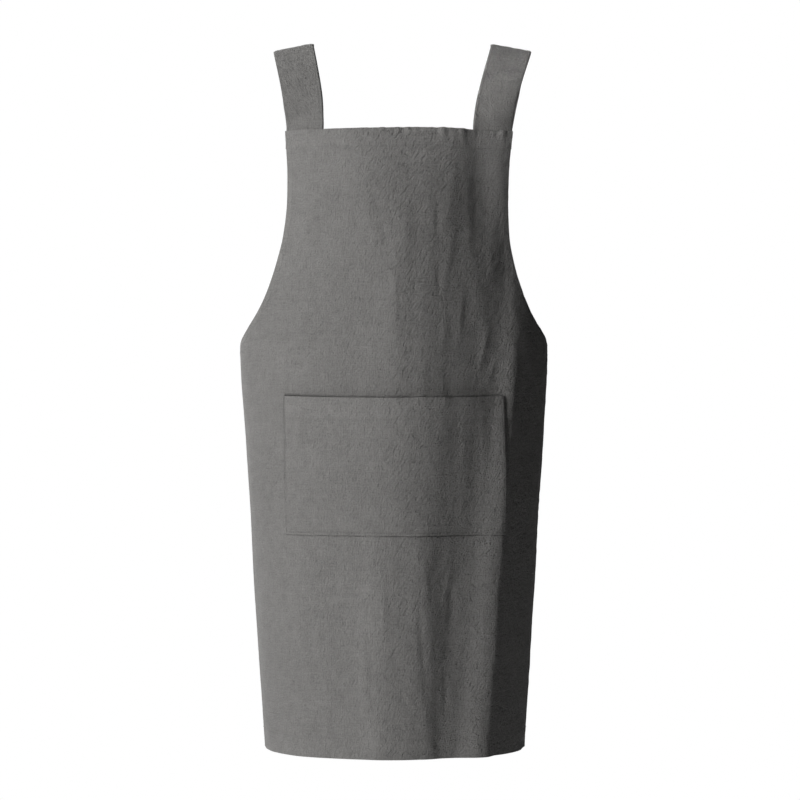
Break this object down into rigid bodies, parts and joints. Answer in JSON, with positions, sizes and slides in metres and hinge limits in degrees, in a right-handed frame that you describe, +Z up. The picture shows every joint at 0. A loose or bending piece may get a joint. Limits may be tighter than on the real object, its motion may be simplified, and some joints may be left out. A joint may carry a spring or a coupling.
{
  "type": "linen cross-back apron",
  "caption": "Linen cross-back apron in its worn form, with a square bib, a wrap-round skirt, a wide patch pocket and broad shoulder straps.",
  "frame": {"origin": "midway between the two straps, level with their tops, where the apron hangs on the shoulders", "axes": "+Z up, -Y the way the wearer faces, +X to the right as seen from the front"},
  "size_m": [0.3986, 0.2809, 0.9112],
  "materials": {
    "body_linen": "plain-woven washed linen, matt, with slubs and fine crinkle",
    "pocket_linen": "plain-woven washed linen, matt, with a turned hem along the mouth",
    "strap_linen": "doubled plain-woven linen, matt, stitched along both edges"
  },
  "bodies": {
    "root": {"body_panel": "body_linen", "pocket": "pocket_linen", "strap_right": "strap_linen", "strap_left": "strap_linen"}
  },
  "joints": []
}
